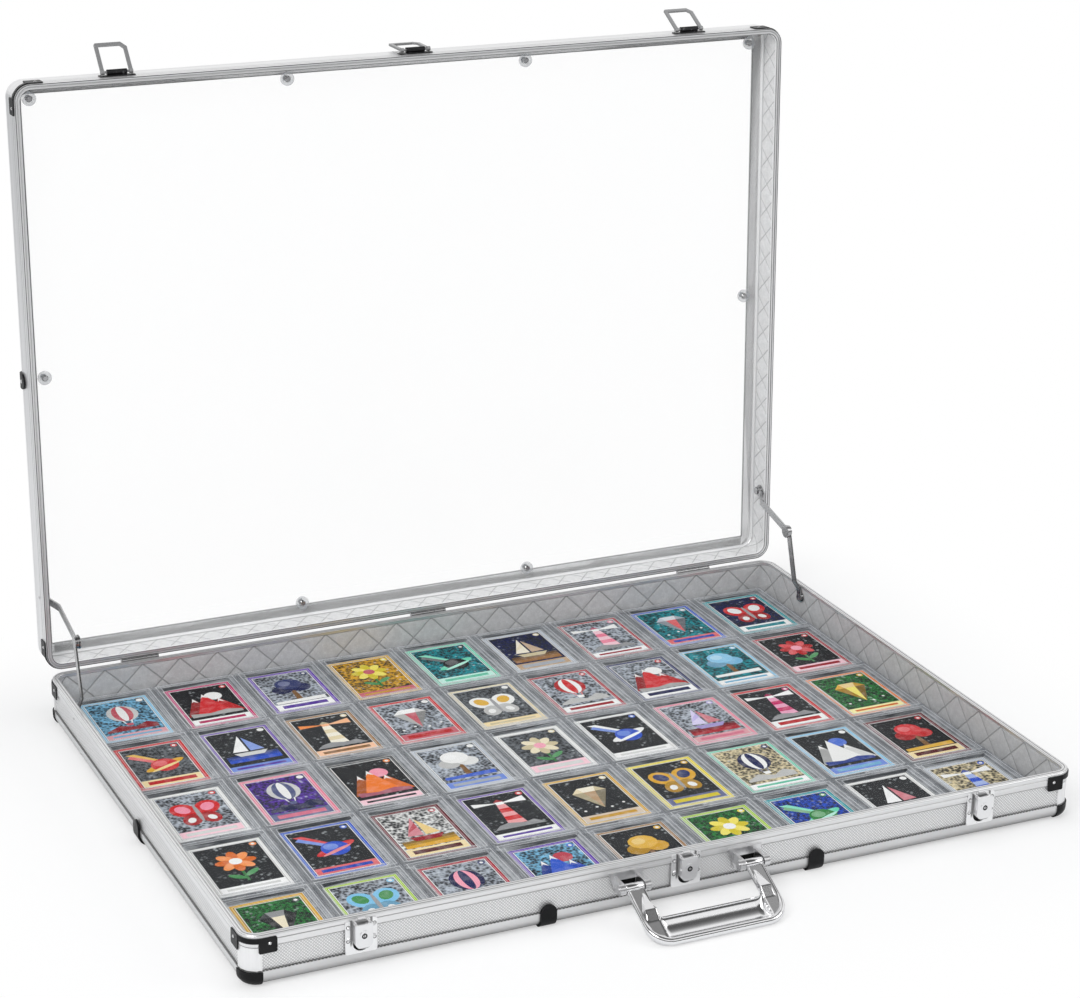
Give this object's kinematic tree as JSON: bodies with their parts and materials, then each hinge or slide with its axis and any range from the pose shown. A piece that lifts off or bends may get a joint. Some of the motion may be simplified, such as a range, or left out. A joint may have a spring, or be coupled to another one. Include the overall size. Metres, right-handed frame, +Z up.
{
  "type": "trading card display case",
  "caption": "Flat aluminium display case with a clear hinged lid on two folding stays, latches with bails, a carrying handle and rows of card holders.",
  "frame": {"origin": "centre of the base's footprint, on the surface it stands on", "axes": "+X to the right seen from the handle side, +Y from the handle to the hinges, +Z up"},
  "size_m": [0.7576, 0.6705, 0.6095],
  "materials": {
    "aluminium_profile": "satin anodised",
    "textured_panel": "fine pimpled texture",
    "black_plastic": "moulded",
    "bright_steel": "polished",
    "chrome": "polished",
    "dark_steel": "black",
    "lining": "quilted diamond lines",
    "lid_lining": "quilted diamond lines",
    "foam": "dense foam",
    "floor_board": "board",
    "acrylic": "clear acrylic",
    "clear_plastic": "clear",
    "card": "glossy print"
  },
  "bodies": {
    "base": {"base_floor": "floor_board", "base_pad": "foam", "base_lining": "lining", "base_panel_front": "textured_panel", "base_panel_right": "textured_panel", "base_panel_back": "textured_panel", "base_panel_left": "textured_panel", "base_sill_front": "aluminium_profile", "base_sill_right": "aluminium_profile", "base_sill_back": "aluminium_profile", "base_sill_left": "aluminium_profile", "base_rim_front": "aluminium_profile", "base_rim_right": "aluminium_profile", "base_rim_back": "aluminium_profile", "base_rim_left": "aluminium_profile", "base_corner_posts": "aluminium_profile", "base_corner_straps": "black_plastic", "base_corner_cups": "black_plastic", "base_feet": "black_plastic", "base_rivets": "bright_steel", "base_hinge_leaves": "bright_steel", "hinge_pins": "bright_steel", "latch_plates": "chrome", "latch_pins": "bright_steel", "handle_brackets": "chrome", "handle_pins": "bright_steel", "stay_base_studs": "bright_steel", "card_holder_backs": "clear_plastic", "card_holder_covers": "clear_plastic", "cards": "card", "holder_magnets": "bright_steel"},
    "handle": {"handle": "chrome"},
    "latch_lever_left": {"latch_lever_left": "chrome"},
    "latch_lever_centre": {"latch_lever_centre": "chrome"},
    "latch_lever_right": {"latch_lever_right": "chrome"},
    "lock_barrel_left": {"lock_barrel_left": "chrome"},
    "lock_barrel_centre": {"lock_barrel_centre": "chrome"},
    "lock_barrel_right": {"lock_barrel_right": "chrome"},
    "stay_lower_left": {"stay_lower_left": "bright_steel"},
    "stay_lower_right": {"stay_lower_right": "bright_steel"},
    "stay_upper_left": {"stay_upper_left": "bright_steel"},
    "stay_upper_right": {"stay_upper_right": "bright_steel"},
    "bail_left": {"bail_left": "chrome"},
    "bail_centre": {"bail_centre": "chrome"},
    "bail_right": {"bail_right": "chrome"},
    "lid": {"lid_rail_front": "aluminium_profile", "lid_rail_right": "aluminium_profile", "lid_rail_back": "aluminium_profile", "lid_rail_left": "aluminium_profile", "lid_window": "acrylic", "lid_window_clips": "clear_plastic", "lid_clip_screws": "bright_steel", "lid_lining": "lid_lining", "lid_corner_straps": "black_plastic", "lid_bumpers": "black_plastic", "lid_hinge_leaves": "bright_steel", "bail_brackets": "dark_steel", "lid_rivets": "bright_steel", "stay_lid_studs": "bright_steel"}
  },
  "joints": [
    {"name": "lid_hinge", "type": "hinge", "parent": "base", "child": "lid", "pos_m": [0, 0.2704, 0.04515], "axis": [1, 0, 0], "range_deg": [0, 92.2]},
    {"name": "handle_fold", "type": "hinge", "parent": "base", "child": "handle", "pos_m": [0, -0.284, 0.029], "axis": [-1, 0, 0], "range_deg": [0, 95]},
    {"name": "latch_left", "type": "hinge", "parent": "base", "child": "latch_lever_left", "pos_m": [-0.281, -0.2729, 0.0388], "axis": [-1, 0, 0], "range_deg": [0, 100]},
    {"name": "lock_left", "type": "hinge", "parent": "latch_lever_left", "child": "lock_barrel_left", "pos_m": [-0.281, -0.275, 0.032], "axis": [0, 1, 0], "range_deg": [0, 90]},
    {"name": "bail_left", "type": "hinge", "parent": "lid", "child": "bail_left", "pos_m": [-0.281, 0.30289, 0.5873], "axis": [1, 0, 0], "range_deg": [-47, 117]},
    {"name": "latch_centre", "type": "hinge", "parent": "base", "child": "latch_lever_centre", "pos_m": [0, -0.2729, 0.0388], "axis": [-1, 0, 0], "range_deg": [0, 100]},
    {"name": "lock_centre", "type": "hinge", "parent": "latch_lever_centre", "child": "lock_barrel_centre", "pos_m": [0, -0.275, 0.032], "axis": [0, 1, 0], "range_deg": [0, 90]},
    {"name": "bail_centre", "type": "hinge", "parent": "lid", "child": "bail_centre", "pos_m": [0, 0.30289, 0.5873], "axis": [1, 0, 0], "range_deg": [0, 165]},
    {"name": "latch_right", "type": "hinge", "parent": "base", "child": "latch_lever_right", "pos_m": [0.281, -0.2729, 0.0388], "axis": [-1, 0, 0], "range_deg": [0, 100]},
    {"name": "lock_right", "type": "hinge", "parent": "latch_lever_right", "child": "lock_barrel_right", "pos_m": [0.281, -0.275, 0.032], "axis": [0, 1, 0], "range_deg": [0, 90]},
    {"name": "bail_right", "type": "hinge", "parent": "lid", "child": "bail_right", "pos_m": [0.281, 0.30289, 0.5873], "axis": [1, 0, 0], "range_deg": [-28, 136]},
    {"name": "stay_lower_left", "type": "hinge", "parent": "base", "child": "stay_lower_left", "pos_m": [-0.369, 0.193, 0.032], "axis": [1, 0, 0], "range_deg": [0, 95.6]},
    {"name": "stay_upper_left", "type": "hinge", "parent": "lid", "child": "stay_upper_left", "pos_m": [-0.367, 0.28777, 0.11313], "axis": [1, 0, 0], "range_deg": [-95.4, 0]},
    {"name": "stay_lower_right", "type": "hinge", "parent": "base", "child": "stay_lower_right", "pos_m": [0.369, 0.193, 0.032], "axis": [1, 0, 0], "range_deg": [0, 95.6]},
    {"name": "stay_upper_right", "type": "hinge", "parent": "lid", "child": "stay_upper_right", "pos_m": [0.367, 0.28777, 0.11313], "axis": [1, 0, 0], "range_deg": [-95.4, 0]}
  ],
  "couplings": [
    {"joint": "stay_lower_left", "follows": "lid_hinge", "ratio": 1.0358},
    {"joint": "stay_upper_left", "follows": "lid_hinge", "ratio": -1.0334},
    {"joint": "stay_lower_right", "follows": "lid_hinge", "ratio": 1.0358},
    {"joint": "stay_upper_right", "follows": "lid_hinge", "ratio": -1.0334}
  ]
}
